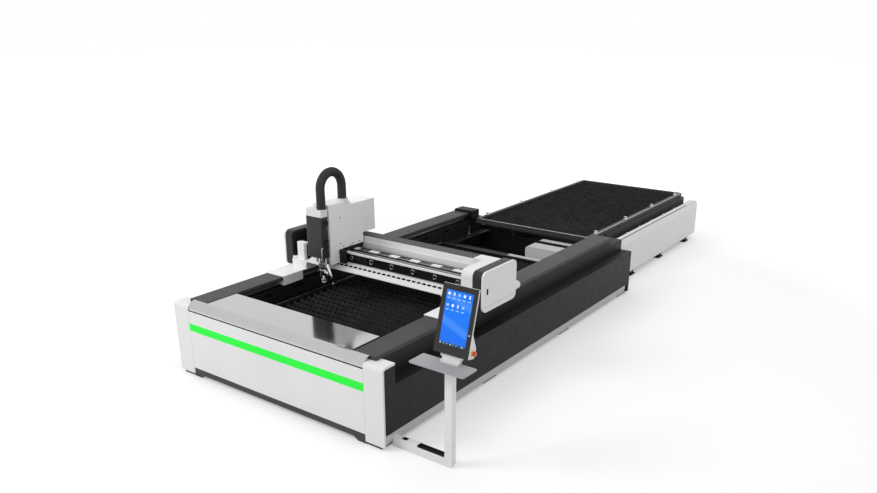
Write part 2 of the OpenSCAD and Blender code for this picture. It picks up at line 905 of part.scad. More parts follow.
module saddle() {
    block(saddle_in, saddle_out, saddle_y0, saddle_y1, saddle_z - saddle_t, saddle_z);
    block(leg_in, leg_in + leg_w, leg_y0, gantry_y, saddle_z, beam_z);
    block(leg_in, saddle_out, gantry_y, gantry_y + end_len, saddle_z, beam_z);
    along_y(leg_y0, gantry_y + end_len) polygon(concat([[leg_in, beam_z]],
        arc([leg_in - leg_fillet, beam_z - leg_fillet], leg_fillet, 90, 0)));
    for (y = [saddle_y0 + lug_inset, saddle_y1 - lug_inset - lug_len]) difference() {
        union() {
            block(saddle_in, saddle_in + lug_t, y, y + lug_len, lug_low, saddle_z);
            block(saddle_in, rebate_x - truck_in, y, y + lug_len, rail_z - truck_h / 2, rail_z + truck_h / 2);
        }
        block(rebate_x - rail_h - seat, rebate_x, y - over, y + lug_len + over,
            rail_z - rail_w / 2 - seat, rail_z + rail_w / 2 + seat);
    }
}

module saddles() color(white) from_front() {
    saddle();
    mirror([1, 0, 0]) {
        saddle();
        block(bracket_x0, bracket_x1, bracket_y0, bracket_y1, beam_z, bracket_top);
    }
}

module gantry_beam() color(black) from_front() {
    along_x(-beam_end, beam_end) polygon([[face_y, beam_z], [beam_y1, beam_z], [beam_y1, deck_z],
        [face_y + lip_t, deck_z], [face_y + lip_t, deck_z + lip_h], [face_y, deck_z + lip_h]]);
    for (i = [0:ring_count - 1])
        translate([beam_end - ring_end - i * ring_pitch, face_y, ring_z]) rotate([90, 0, 0])
            difference() {
                cylinder(r = ring_r, h = ring_t);
                cylinder(r = ring_bore, h = ring_t + over);
            }
}

module beam_lower_cover() color(white) from_front() difference() {
    along_x(-apron_in, beam_end) polygon([[apron_y, beam_z], [apron_y, beam_z + apron_edge],
        [front_y, apron_top], [front_y, apron_rim], [face_y, apron_rim], [face_y, beam_z]]);
    for (i = [0:dash_count - 1]) translate([dash_x1 - i * dash_pitch, dash_y, 0])
        block(0, dash_len, 0, dash_w, beam_z + dash_floor, apron_rim);
}

module beam_guard() color(white) from_front()
    block(-beam_end, beam_end, front_y, face_y, guard_low, guard_top);

module x_rails() color(steel) from_front() for (y = x_rail_ys)
    along_x(rail_end - beam_end, beam_end - rail_end)
        polygon([for (s = rail_shares) [y + s[1] * rail_w, deck_z + s[0] * rail_h]]);

module x_rack() color(steel) from_front() {
    half = beam_end - rail_end;
    count = floor(2 * half / rack_pitch);
    teeth = [for (i = [0:count - 1]) let (x = half - i * rack_pitch) each [[x, rack_y + rack_w],
        [x - rack_share * rack_pitch, rack_y + rack_w + rack_tooth],
        [x - 2 * rack_share * rack_pitch, rack_y + rack_w + rack_tooth],
        [x - 3 * rack_share * rack_pitch, rack_y + rack_w]]];
    along_z(deck_z, deck_z + rack_h) polygon(concat([[-half, rack_y], [half, rack_y]], teeth,
        [[-half, rack_y + rack_w]]));
}

module chain_fascia() color(white) from_front() along_x(-chain_end, chain_end)
    polygon([[chain_y, deck_z], [chain_y, fold_z], [chain_y + chain_fold_in, fold_z],
        [chain_y + chain_lean, lid_low], [chain_y + chain_lean + sheet_t, lid_low],
        [chain_y + chain_fold_in + sheet_t, fold_z - sheet_t], [chain_y + sheet_t, fold_z - sheet_t],
        [chain_y + sheet_t, deck_z]]);

module chain_cover() color(grey) from_front() along_x(-chain_end, chain_end)
    polygon([[chain_y + chain_lean, lid_low], [chain_y + chain_lean, chain_top],
        [beam_y1, chain_top], [beam_y1, deck_z], [beam_y1 - sheet_t, deck_z], [beam_y1 - sheet_t, lid_low]]);

module chain_end_cap() along_x(chain_end, beam_end) polygon([[chain_y, deck_z],
    [chain_y + chain_lean, chain_top], [beam_y1, chain_top], [beam_y1, deck_z]]);

// The right fairing closes round its motor; the left one leaves the motor bay open in front
module end_fairings() color(white) from_front() {
    chain_end_cap();
    difference() {
        along_x(beam_end, saddle_out) polygon(concat([[beam_y1, beam_z], [beam_y1, chain_top]],
            arc([front_y + fairing_r, chain_top - fairing_r], fairing_r, 90, 180), [[front_y, beam_z]]));
        block(cave_x0, cave_x1, front_y + cave_wall, cave_y1, beam_z - over, cave_top);
    }
    mirror([1, 0, 0]) {
        chain_end_cap();
        block(beam_end, saddle_out, cave_y1, beam_y1, beam_z, chain_top);
    }
}

// A drive motor, and the folded bracket round its bay
module motor_bay(front, top) {
    side = cave_x1 - seat;
    rear = cave_y1 - seat;
    translate([motor_x, motor_y, beam_z]) {
        block(-motor_w / 2, motor_w / 2, -motor_w / 2, motor_w / 2, 0, motor_foot);
        upright(0, 0, motor_r, 0, motor_h);
        upright(0, 0, motor_cap_r, 0, motor_h + motor_cap_h);
    }
    along_z(beam_z, top) polygon([[side, front], [side, rear], [cave_x0 + seat, rear],
        [cave_x0 + seat, rear - motor_plate_t], [side - motor_plate_t, rear - motor_plate_t],
        [side - motor_plate_t, front]]);
}

module y_motors() color(black) from_front() {
    motor_bay(front_y + cave_wall + seat, cave_top - seat);
    mirror([1, 0, 0]) motor_bay(gantry_y + end_t, chain_top);
}

module end_shells() color(grey) from_front() both_sides() difference() {
    along_x(end_x0, end_x1) polygon(round_rect(gantry_y, end_low, gantry_y + end_len, end_top, end_r));
    along_x(end_x0 - over, end_x1 + over) polygon(round_rect(gantry_y + end_t, end_low + end_t,
        gantry_y + end_len - end_t, end_top - end_t, end_r - end_t));
}

module end_plates() color(white) from_front() both_sides() {
    difference() {
        along_x(end_x1, end_x1 + end_plate_t)
            polygon(round_rect(gantry_y, end_low, gantry_y + end_len, end_top, end_r));
        block(end_x1 + end_plate_t - crease_w, end_x1 + end_plate_t + over, gantry_y - over,
            gantry_y + end_len + over, crease_z, crease_z + crease_w);
        block(end_x1 + crease_w, end_x1 + end_plate_t + over, vent_y, vent_y + vent_w,
            vent_z, vent_z + vent_h);
    }
    translate([bumper_x, gantry_y + end_len, bumper_z]) rotate([-90, 0, 0]) rotate_extrude()
        polygon([[0, 0], [bumper_r, 0], [bumper_r, bumper_len - bumper_tip], [bumper_tip_r, bumper_len],
            [0, bumper_len]]);
}

// Carriage and head

module x_carriage() color(steel) from_front() difference() {
    union() {
        block(carriage_x + car_plate_in, car_x1 - car_plate_in, x_rail_ys[0] - truck_w,
            car_step_y - truck_gap, car_z - car_plate_t, car_z);
        for (y = x_rail_ys) block(carriage_x + car_plate_in, car_x1 - car_plate_in,
            y - truck_w / 2, y + truck_w / 2, deck_z + truck_gap, car_z);
        block(car_x1, car_x1 + wiper_w, wiper_y1 - wiper_t, wiper_y1, wiper_low, car_z);
    }
    for (y = x_rail_ys) block(carriage_x, car_x1, y - rail_w / 2 - seat, y + rail_w / 2 + seat,
        deck_z, deck_z + rail_h + seat);
}

module carriage_housing() color(white) from_front() difference() {
    along_x(carriage_x, car_x1)
        polygon([[car_y0, car_leg_low], [car_leg_y, car_leg_low], [car_leg_y, car_z], [car_step_y, car_z],
            [car_step_y, car_step_z], [car_y1, car_step_z], [car_y1, car_top], [car_hump_y, car_top],
            [car_hump_y - car_hump_run, collar_z], [car_y0, collar_z]]);
    upright(hose_x, hose_y1, collar_r + seat, collar_z - collar_sink, collar_z + over);
}

module z_rails() color(steel) from_front() for (x = [carriage_x + z_rail_in, car_x1 - z_rail_in])
    along_z(z_rail_low, z_rail_top)
        polygon([for (s = rail_shares) [x + s[1] * z_rail_w, car_y0 - s[0] * z_rail_h]]);

module hose_collar() color(pale) from_front()
    upright(hose_x, hose_y1, collar_r, collar_z - collar_sink, collar_z + collar_h);

module hose() color(grey) from_front() translate([hose_x, 0, 0]) {
    upright(0, hose_y0, hose_r, hose_z0, hose_z);
    upright(0, hose_y1, hose_r, collar_z + collar_h, hose_z);
    translate([0, hose_y0 + hose_bend, hose_z]) rotate([90, 0, 90])
        rotate_extrude(angle = 180) translate([hose_bend, 0]) circle(r = hose_r);
}

module head_slide() color(steel) from_front() difference() {
    block(carriage_x + slide_in, car_x1 - slide_in, head_y1, car_y0 - slide_gap, slide_low, slide_top);
    for (x = [carriage_x + z_rail_in, car_x1 - z_rail_in])
        block(x - z_rail_w / 2 - seat, x + z_rail_w / 2 + seat, car_y0 - z_rail_h - seat, car_y0,
            slide_low - over, slide_top + over);
}

module head_outline() polygon(concat([[carriage_x - head_over, head_y1]],
    arc([carriage_x - head_over + head_r, head_y0 + head_r], head_r, 180, 270),
    arc([car_x1 - head_r, head_y0 + head_r], head_r, 270, 360), [[car_x1, head_y1]]));

module head_cover() color(black) from_front() along_z(head_low, head_top) head_outline();

module head_cap() color(white) from_front() along_z(head_top, head_top + cap_h) head_outline();

module cutting_head() color(steel) from_front() translate([tool_x, tool_y, 0]) {
    span = head_low - tool_low;
    count = len(tool_r_shares);
    rotate_extrude() polygon(concat([[0, tool_low], [0, head_low]],
        [for (i = [0:count - 1]) [tool_r * tool_r_shares[i], tool_low + span * tool_z_shares[i]]]));
    block(-drawer_w / 2, drawer_w / 2, -drawer_d / 2, drawer_d / 2, drawer_z, drawer_z + drawer_h);
}

module nozzle() color(copper) from_front() translate([tool_x, tool_y, 0]) rotate_extrude()
    polygon([[nozzle_hole, tip_z], [nozzle_tip_r, tip_z], [nozzle_r, tool_low - nozzle_ring],
        [nozzle_r, tool_low], [nozzle_hole, tool_low]]);

// Console

// The arm's elbow carries the post, and a cable channel is open along its top
module console_arm() color(white) from_front() difference() {
    along_y(arm_y0, arm_y0 + arm_d) polygon(concat([[skirt_x, 0], [skirt_x, arm_h], [post_x0, arm_h],
        [post_x0, joint_z], [post_x1, joint_z]], arc([post_x1 - arm_r, arm_r], arm_r, 360, 270)));
    block(arm_slot_x1 - arm_slot_len, arm_slot_x1, arm_y0 - over, arm_y0 + arm_d - arm_slot_wall,
        arm_h - arm_slot_h, arm_h + over);
    block(arm_hole_x, arm_hole_x + arm_hole_w, arm_y0 + arm_hole_in, arm_y0 + arm_d - arm_hole_in,
        arm_h - arm_hole_deep, arm_h + over);
}

module console_post() color(white) from_front() {
    block(post_x0, post_x1, arm_y0, arm_y0 + arm_d, joint_z + joint_h, tray_z);
    block(post_x0 + joint_in, post_x1 - joint_in, arm_y0 + joint_in, arm_y0 + arm_d - joint_in,
        joint_z, joint_z + joint_h);
}

module keyboard_tray() color(pale) from_front() along_z(tray_z, board_top)
    polygon(round_rect(board_x - board_w / 2, board_y0, board_x + board_w / 2, board_y1, board_r));

// The monitor's own frame: along its width, back from its face, and up its face
module monitor_place() from_front() translate([console_x, mon_y, mon_z]) rotate([-monitor_lean, 0, 0])
    children();

module monitor_neck() color(white) from_front() translate([console_x, 0, 0]) {
    block(-neck_w / 2, neck_w / 2, neck_y0, board_y1, board_top, neck_top);
    block(-neck_w / 2, neck_w / 2, hinge_y - neck_web_t / 2, hinge_y + neck_web_t / 2, neck_top, hinge_z);
    lying(hinge_y, hinge_z, pin_r, -ear_out, ear_out);
}

module monitor_housing() color(white) monitor_place() difference() {
    union() {
        along_x(-monitor_w / 2, monitor_w / 2) polygon([[glass_t, 0], [mon_foot_d, mon_foot_z],
            [mon_belly_d, mon_belly_z], [mon_t, mon_neck_z], [mon_t, monitor_h], [glass_t, monitor_h]]);
        both_sides() {
            lying(pin_y, pin_z, ear_r, ear_in, ear_out);
            block(ear_in, ear_out, pin_y - ear_r, pin_y + ear_r, pin_z, pin_z + ear_rise);
        }
    }
    lying(pin_y, pin_z, pin_r + pin_fit, -monitor_w / 2, monitor_w / 2);
    translate([power_x, glass_t, power_z]) rotate([-90, 0, 0])
        translate([0, 0, -over]) cylinder(r = power_r + power_fit, h = power_deep + over);
}

module monitor_glass() color(black) monitor_place() difference() {
    block(-monitor_w / 2, monitor_w / 2, 0, glass_t, 0, monitor_h);
    translate([power_x, -over, power_z]) rotate([-90, 0, 0])
        cylinder(r = power_r + power_fit, h = glass_t + 2 * over);
}

module power_button() color(steel) monitor_place() translate([power_x, -power_out, power_z])
    rotate([-90, 0, 0]) cylinder(r = power_r, h = power_out + glass_t);

module estop_base() color(yellow) monitor_place() difference() {
    lying(estop_y, estop_z, estop_r, monitor_w / 2, monitor_w / 2 + estop_t);
    lying(estop_y, estop_z, estop_stem_r + estop_fit, monitor_w / 2 - over, monitor_w / 2 + estop_t + over);
}

module estop_button() color(red) monitor_place() {
    face = monitor_w / 2 + estop_t;
    lying(estop_y, estop_z, estop_stem_r, face - estop_t + estop_in, face + estop_gap + estop_cap_t);
    lying(estop_y, estop_z, estop_cap_r, face + estop_gap, face + estop_gap + estop_cap_t);
}

bed_beams();
bed_crossbeams();
bed_runners();
side_panels();
side_skirts();
rail_covers();
y_rails();
front_cover();
front_stripe();
front_top_plate();
kick_plate();
rear_cap();
levelling_feet();
pallet_guides();
table_sides();
table_gutters();
table_crossbeams();
table_feet();
drive_cover();
lift_cylinders();
lift_rods();
lift_rails();
lift_ties();
lower_pallet_frame();
lower_pallet_slats();
lower_pallet_stops();
upper_pallet_frame();
upper_pallet_slats();
upper_pallet_stops();
saddles();
gantry_beam();
beam_lower_cover();
beam_guard();
x_rails();
x_rack();
chain_fascia();
chain_cover();
end_fairings();
y_motors();
end_shells();
end_plates();
x_carriage();
carriage_housing();
z_rails();
hose_collar();
hose();
head_slide();
head_cover();
head_cap();
cutting_head();
nozzle();
console_arm();
console_post();
keyboard_tray();
monitor_neck();
monitor_housing();
monitor_glass();
power_button();
estop_base();
estop_button();
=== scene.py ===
"""Looks for the laser cutting machine, built round its CAD frame: hose, display, fittings, paint, light."""
import json
import math

import bmesh
import bpy
from mathutils import Euler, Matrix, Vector


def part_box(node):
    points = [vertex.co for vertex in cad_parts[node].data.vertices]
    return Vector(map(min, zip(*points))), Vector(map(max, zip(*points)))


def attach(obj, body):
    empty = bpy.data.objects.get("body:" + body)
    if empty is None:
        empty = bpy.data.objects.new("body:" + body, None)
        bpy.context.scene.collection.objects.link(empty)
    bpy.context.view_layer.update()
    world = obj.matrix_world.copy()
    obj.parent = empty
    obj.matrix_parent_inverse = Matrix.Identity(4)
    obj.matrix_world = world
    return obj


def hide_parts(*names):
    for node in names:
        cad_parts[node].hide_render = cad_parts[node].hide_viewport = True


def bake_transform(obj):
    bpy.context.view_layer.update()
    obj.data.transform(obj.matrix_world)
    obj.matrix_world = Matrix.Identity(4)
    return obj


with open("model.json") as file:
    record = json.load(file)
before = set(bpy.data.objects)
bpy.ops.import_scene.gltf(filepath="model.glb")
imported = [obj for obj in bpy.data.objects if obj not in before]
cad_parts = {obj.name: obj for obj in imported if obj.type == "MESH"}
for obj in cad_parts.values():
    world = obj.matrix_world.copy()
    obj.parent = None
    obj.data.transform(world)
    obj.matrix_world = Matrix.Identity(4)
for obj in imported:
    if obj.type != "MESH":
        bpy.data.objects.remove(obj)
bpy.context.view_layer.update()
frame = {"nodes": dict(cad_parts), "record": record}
MM = 0.001
MERGE = 0.01 * MM
RIGHT, BACK, UP = (1, 0, 0), (0, 1, 0), (0, 0, 1)
SIDEWAYS = (0, math.pi / 2, 0)
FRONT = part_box("front_cover")[0].y


def spot(x, y, z):
    """A place in millimetres: across from the centre line, back from the bed's front, up from the floor."""
    return Vector((x * MM, FRONT + y * MM, z * MM))


# Materials

def node_tree(name):
    mat = bpy.data.materials.new(name)
    mat.use_nodes = True
    tree = mat.node_tree
    return mat, tree, tree.nodes["Principled BSDF"]


def noise(tree, vector, scale, detail=4.0):
    node = tree.nodes.new("ShaderNodeTexNoise")
    node.inputs["Scale"].default_value = scale
    node.inputs["Detail"].default_value = detail
    tree.links.new(vector, node.inputs["Vector"])
    return node.outputs["Fac"]


def ramp(tree, value, stops):
    node = tree.nodes.new("ShaderNodeValToRGB")
    band = node.color_ramp
    while len(band.elements) < len(stops):
        band.elements.new(0.5)
    for element, (place, colour) in zip(band.elements, stops):
        element.position = place
        element.color = (*colour, 1.0)
    tree.links.new(value, node.inputs["Fac"])
    return node.outputs["Color"]


def spread(tree, value, low, high, start=0.3, end=0.7):
    node = tree.nodes.new("ShaderNodeMapRange")
    node.inputs["From Min"].default_value = start
    node.inputs["From Max"].default_value = end
    node.inputs["To Min"].default_value = low
    node.inputs["To Max"].default_value = high
    tree.links.new(value, node.inputs["Value"])
    return node.outputs["Result"]


def object_space(tree, stretch=(1.0, 1.0, 1.0)):
    coords = tree.nodes.new("ShaderNodeTexCoord")
    mapping = tree.nodes.new("ShaderNodeMapping")
    mapping.inputs["Scale"].default_value = stretch
    tree.links.new(coords.outputs["Object"], mapping.inputs["Vector"])
    return mapping.outputs["Vector"]


def finish(name, colour, rough, metal=0.0, tone=0.05, grain=350.0, depth=0.00015, patch=2.2,
           stretch=(1.0, 1.0, 1.0), coat=0.0, specular=0.5):
    """A worked surface: broad drifts of tone, a fine grain in the relief and uneven gloss."""
    mat, tree, shader = node_tree(name)
    space = object_space(tree, stretch)
    broad = noise(tree, space, patch)
    fine = noise(tree, space, grain, 3.0)
    dark = tuple(c * (1.0 - tone) for c in colour)
    light = tuple(min(1.0, c * (1.0 + tone)) for c in colour)
    tree.links.new(ramp(tree, broad, [(0.32, dark), (0.68, light)]), shader.inputs["Base Color"])
    tree.links.new(spread(tree, noise(tree, space, patch * 6.0), rough * 0.92, min(1.0, rough * 1.08)),
                   shader.inputs["Roughness"])
    bump = tree.nodes.new("ShaderNodeBump")
    bump.inputs["Strength"].default_value = 0.5
    bump.inputs["Distance"].default_value = depth
    tree.links.new(fine, bump.inputs["Height"])
    tree.links.new(bump.outputs["Normal"], shader.inputs["Normal"])
    shader.inputs["Metallic"].default_value = metal
    shader.inputs["Coat Weight"].default_value = coat
    shader.inputs["Specular IOR Level"].default_value = specular
    return mat


def wallpaper(name, low, high):
    """A lit display: a blue sheet with soft bands sweeping across it."""
    lean, waves, glow = 0.9, 13.0, 0.95
    mat, tree, shader = node_tree(name)
    space = object_space(tree)
    parts = tree.nodes.new("ShaderNodeSeparateXYZ")
    tree.links.new(space, parts.inputs["Vector"])
    height = spread(tree, parts.outputs["Z"], 0.0, 1.0, low, high)
    slope = tree.nodes.new("ShaderNodeMath")
    slope.operation = "MULTIPLY_ADD"
    slope.inputs[1].default_value = lean
    tree.links.new(parts.outputs["X"], slope.inputs[0])
    tree.links.new(height, slope.inputs[2])
    turns = tree.nodes.new("ShaderNodeMath")
    turns.operation = "MULTIPLY"
    turns.inputs[1].default_value = waves
    tree.links.new(slope.outputs["Value"], turns.inputs[0])
    wave = tree.nodes.new("ShaderNodeMath")
    wave.operation = "SINE"
    tree.links.new(turns.outputs["Value"], wave.inputs[0])
    sweep = ramp(tree, wave.outputs["Value"], [(0.2, (0.006, 0.17, 0.92)), (1.0, (0.10, 0.34, 1.0))])
    sky = ramp(tree, height, [(0.0, (0.012, 0.15, 0.85)), (0.5, (0.010, 0.22, 1.0)),
                              (1.0, (0.006, 0.20, 0.95))])
    mix = tree.nodes.new("ShaderNodeMix")
    mix.data_type = "RGBA"
    mix.inputs["Factor"].default_value = 0.5
    tree.links.new(sky, mix.inputs["A"])
    tree.links.new(sweep, mix.inputs["B"])
    shader.inputs["Base Color"].default_value = (0.0, 0.01, 0.04, 1.0)
    shader.inputs["Specular IOR Level"].default_value = 0.2
    tree.links.new(mix.outputs["Result"], shader.inputs["Emission Color"])
    shader.inputs["Emission Strength"].default_value = glow
    tree.links.new(spread(tree, noise(tree, space, 40.0), 0.12, 0.2), shader.inputs["Roughness"])
    bump = tree.nodes.new("ShaderNodeBump")
    bump.inputs["Strength"].default_value = 0.2
    bump.inputs["Distance"].default_value = 0.00005
    tree.links.new(noise(tree, space, 600.0), bump.inputs["Height"])
    tree.links.new(bump.outputs["Normal"], shader.inputs["Normal"])
    return mat


def lit(name, colour, strength):
    """A glowing mark on the display."""
    mat, tree, shader = node_tree(name)
    space = object_space(tree)
    drift = noise(tree, space, 120.0)
    shade = tuple(c * 0.86 for c in colour)
    tree.links.new(ramp(tree, drift, [(0.3, shade), (0.7, colour)]), shader.inputs["Emission Color"])
    shader.inputs["Emission Strength"].default_value = strength
    shader.inputs["Base Color"].default_value = (0.05, 0.07, 0.1, 1.0)
    tree.links.new(spread(tree, drift, 0.15, 0.3), shader.inputs["Roughness"])
    bump = tree.nodes.new("ShaderNodeBump")
    bump.inputs["Strength"].default_value = 0.2
    bump.inputs["Distance"].default_value = 0.00005
    tree.links.new(noise(tree, space, 500.0), bump.inputs["Height"])
    tree.links.new(bump.outputs["Normal"], shader.inputs["Normal"])
    return mat


white_paint = finish("white powder paint", (0.77, 0.77, 0.775), 0.42, tone=0.02, specular=0.3)
# Painted light: a lighter copy of the white paint for the chain fascia, carriage housing and saddles, which
# sit in shade.
painted_light_white = finish("white paint lifted as painted light", (0.88, 0.88, 0.885), 0.42, tone=0.02, specular=0.3)
pale_paint = finish("pale grey paint", (0.52, 0.52, 0.53), 0.42, tone=0.03, specular=0.3)
tray_paint = finish("mid grey paint", (0.36, 0.36, 0.37), 0.45, tone=0.03, specular=0.25)
plate_sheen = finish("polished cover plate", (0.53, 0.53, 0.535), 0.10, metal=1.0, tone=0.02, depth=0.00002,
                     stretch=(6.0, 1.0, 1.0))
grey_paint = finish("dark grey paint", (0.055, 0.055, 0.057), 0.5, tone=0.05, specular=0.2)
black_paint = finish("black powder paint", (0.0085, 0.0085, 0.009), 0.5, tone=0.06, specular=0.2)
shell_paint = finish("charcoal paint", (0.026, 0.026, 0.027), 0.45, tone=0.05, specular=0.25)
satin_black = finish("satin black skin", (0.020, 0.020, 0.021), 0.35, tone=0.08, specular=0.3)
# Painted shade: a near-black laid where shade falls in gaps, openings and grooves.
painted_shade_black = finish("shadowed inside", (0.004, 0.004, 0.004), 0.8, tone=0.1, specular=0.05)
band_sheen = finish("black gloss band", (0.010, 0.010, 0.011), 0.12, tone=0.05, depth=0.00001, specular=0.3)
green_paint = finish("green stripe paint", (0.034, 0.98, 0.070), 0.45, tone=0.02, specular=0.12)
slat_steel = finish("scaled slat steel", (0.038, 0.038, 0.040), 0.75, tone=0.25, patch=9.0, depth=0.0004,
                    specular=0.12)
ground_steel = finish("ground steel", (0.42, 0.42, 0.44), 0.32, metal=1.0, tone=0.08, stretch=(0.2, 4.0, 4.0))
chrome = finish("bright chrome", (0.74, 0.74, 0.76), 0.10, metal=1.0, tone=0.04, depth=0.00005)
copper = finish("turned copper", (0.65, 0.34, 0.17), 0.28, metal=1.0, tone=0.08, stretch=(1.0, 1.0, 12.0))
ceramic = finish("white ceramic", (0.74, 0.73, 0.70), 0.25, tone=0.03)
rubber = finish("ribbed black rubber", (0.028, 0.028, 0.030), 0.62, tone=0.15, patch=14.0, depth=0.0003,
                specular=0.3)
glass_black = finish("black glass", (0.012, 0.012, 0.013), 0.14, tone=0.1, depth=0.00002, coat=0.2,
                     specular=0.3)
red_plastic = finish("red plastic", (0.60, 0.030, 0.020), 0.28, tone=0.05, coat=0.3)
yellow_plastic = finish("yellow plastic", (0.90, 0.50, 0.030), 0.32, tone=0.05)

LOOKS = {
    "white_paint": white_paint, "pale_paint": pale_paint, "plate_paint": plate_sheen,
    "grey_paint": grey_paint, "black_paint": black_paint, "green_paint": green_paint,
    "slat_steel": slat_steel, "steel": ground_steel, "chrome": chrome, "copper_alloy": copper,
    "hose_rubber": rubber, "screen_face": glass_black, "red_plastic": red_plastic,
    "yellow_plastic": yellow_plastic,
}
# The lower pallet's frame is painted black as painted shade; it is the same grey frame as the upper pallet's.
SPECIAL = {"gantry_beam": band_sheen, "x_carriage": black_paint, "lower_pallet_frame": black_paint,
           "upper_pallet_frame": grey_paint, "bed_runners": black_paint, "head_cover": satin_black,
           "hose_collar": white_paint, "end_shells": shell_paint, "keyboard_tray": tray_paint,
           "chain_fascia": painted_light_white, "carriage_housing": painted_light_white, "saddles": painted_light_white}


def paint(obj, mat):
    obj.data.materials.clear()
    obj.data.materials.append(mat)


for part in frame["record"]["subparts"]:
    paint(frame["nodes"][part["node"]], SPECIAL.get(part["node"], LOOKS[part["material_slot"]]))


def darken(node, test, mat):
    """Paint the faces of a CAD node that pass the test."""
    mesh = frame["nodes"][node].data
    mesh.materials.append(mat)
    for face in mesh.polygons:
        if test(face.center, face.normal):
            face.material_index = len(mesh.materials) - 1


def in_box(lo, hi, slack=0.1 * MM):
    return lambda c, n: all(a - slack < v < b + slack for a, v, b in zip(lo, c, hi))


def darken_insides():
    """Painted shade inside the beam cover's openings, in the grooves on the table's flanges and in the
    console arm's channel and well; the table sides' inner faces painted black.
    """
    opening_floor = 900 * MM
    openings = in_box(spot(-1000, 1443, 885), spot(1100, 1465, 950))
    flanges = in_box(spot(-1075, 4800, 587), spot(1075, 8000, 591.5))
    channel = in_box(spot(1570, 110, 70), spot(1860, 170, 91.5))
    well = in_box(spot(1405, 120, 60), spot(1470, 170, 91.5))

    def opening_wall(c, n):
        return openings(c, n) and (abs(n.x) > 0.9 or abs(n.y) > 0.9 or c.z < opening_floor)

    def inward(c, n):
        return n.x * c.x < -0.5 * abs(c.x)

    # Painted shade on the walls and floors of the openings.
    darken("beam_lower_cover", opening_wall, painted_shade_black)
    darken("table_sides", inward, black_paint)
    # Painted shade in the flanges' grooves.
    darken("table_sides", flanges, painted_shade_black)
    # Painted shade in the arm's channel and well.
    darken("console_arm", lambda c, n: channel(c, n) or well(c, n), black_paint)


darken_insides()


# Modelling by hand

def clear():
    """Object mode with nothing selected."""
    if bpy.context.object and bpy.context.object.mode != "OBJECT":
        bpy.ops.object.mode_set(mode="OBJECT")
    bpy.ops.object.select_all(action="DESELECT")


def begin(name):
    """The primitive just added, named and in edit mode with its place in its vertices."""
    obj = bpy.context.object
    obj.name = name
    obj.data.name = name
    bpy.ops.object.transform_apply(location=True, rotation=True, scale=True)
    bpy.ops.object.mode_set(mode="EDIT")
    return obj


def box(name, lo, hi):
    clear()
    lo, hi = Vector(lo), Vector(hi)
    bpy.ops.mesh.primitive_cube_add(size=1.0, location=(lo + hi) / 2, scale=hi - lo)
    return begin(name)


def drum(name, centre, radius, depth, sides=32, turn=(0.0, 0.0, 0.0)):
    clear()
    bpy.ops.mesh.primitive_cylinder_add(vertices=sides, radius=radius, depth=depth, location=centre,
                                        rotation=turn)
    return begin(name)


def pick(obj, test, mode="FACE"):
    """Select by place or normal the faces, edges or vertices that pass the test."""
    bpy.ops.mesh.select_mode(type=mode)
    bpy.ops.mesh.select_all(action="DESELECT")
    mesh = bmesh.from_edit_mesh(obj.data)
    mesh.normal_update()
    for item in {"FACE": mesh.faces, "EDGE": mesh.edges, "VERT": mesh.verts}[mode]:
        if test(item):
            item.select_set(True)
    mesh.select_flush_mode()
    bmesh.update_edit_mesh(obj.data)


def facing(axis, least=0.9):
    axis = Vector(axis).normalized()
    return lambda face: face.normal.dot(axis) > least


def sharp(edge, least=0.6):
    return len(edge.link_faces) == 2 and edge.calc_face_angle() > least


def push(distance, axis):
    bpy.ops.mesh.extrude_region_move(TRANSFORM_OT_translate={"value": Vector(axis).normalized() * distance})


def ease(obj, width, segments=2):
    """Bevel every sharp edge."""
    pick(obj, sharp, "EDGE")
    bpy.ops.mesh.bevel(offset=width, segments=segments, affect="EDGES")


def done(obj, mat, body):
    """Back to object mode, smooth, painted and carried by its body."""
    bpy.ops.mesh.select_all(action="SELECT")
    bpy.ops.mesh.normals_make_consistent(inside=False)
    bpy.ops.object.mode_set(mode="OBJECT")
    bpy.ops.object.shade_smooth_by_angle(angle=math.radians(35))
    paint(obj, mat)
    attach(obj, body)
    return obj


def copies(obj, moves, body):
    """Copies with meshes of their own, moved from the first one; the place stays in the vertices."""
    made = []
    for k, move in enumerate(moves):
        clear()
        obj.select_set(True)
        bpy.context.view_layer.objects.active = obj
        bpy.ops.object.duplicate(linked=False)
        twin = bpy.context.object
        twin.name = "%s_%02d" % (obj.name, k + 2)
        twin.parent = None
        twin.location = move
        bpy.ops.object.transform_apply(location=True, rotation=False, scale=False)
        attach(twin, body)
        made.append(twin)
    return made


def sided(axis):
    """Edges that run along an axis."""
    axis = Vector(axis)
    return lambda edge: abs((edge.verts[0].co - edge.verts[1].co).normalized().dot(axis)) > 0.99


def slab(name, lo, hi, face, corner, rim, sink, mat, body):
    """A plate with rounded corners and a field sunk in its face, which looks along an axis."""
    obj = box(name, lo, hi)
    pick(obj, sided(face), "EDGE")
    bpy.ops.mesh.bevel(offset=corner * MM, segments=3, affect="EDGES")
    pick(obj, facing(face))
    bpy.ops.mesh.inset(thickness=rim * MM, depth=-sink * MM)
    return done(obj, mat, body)


def bar(name, lo, hi, edge, mat, body):
    """A strip with its edges eased."""
    obj = box(name, lo, hi)
    ease(obj, edge * MM)
    return done(obj, mat, body)


def knurl(obj, width, depth):
    """Sink every facet round an upright drum, with a thin ridge left between them."""
    pick(obj, lambda f: abs(f.normal.z) < 0.1)
    bpy.ops.mesh.inset(thickness=width * MM, depth=-depth * MM, use_individual=True)


def raise_ends(obj, rim, height):
    """A raised field on both ends of an upright drum."""
    pick(obj, lambda f: abs(f.normal.z) > 0.9)
    bpy.ops.mesh.inset(thickness=rim * MM, depth=height * MM)


# Corrugated hose between the head and the carriage

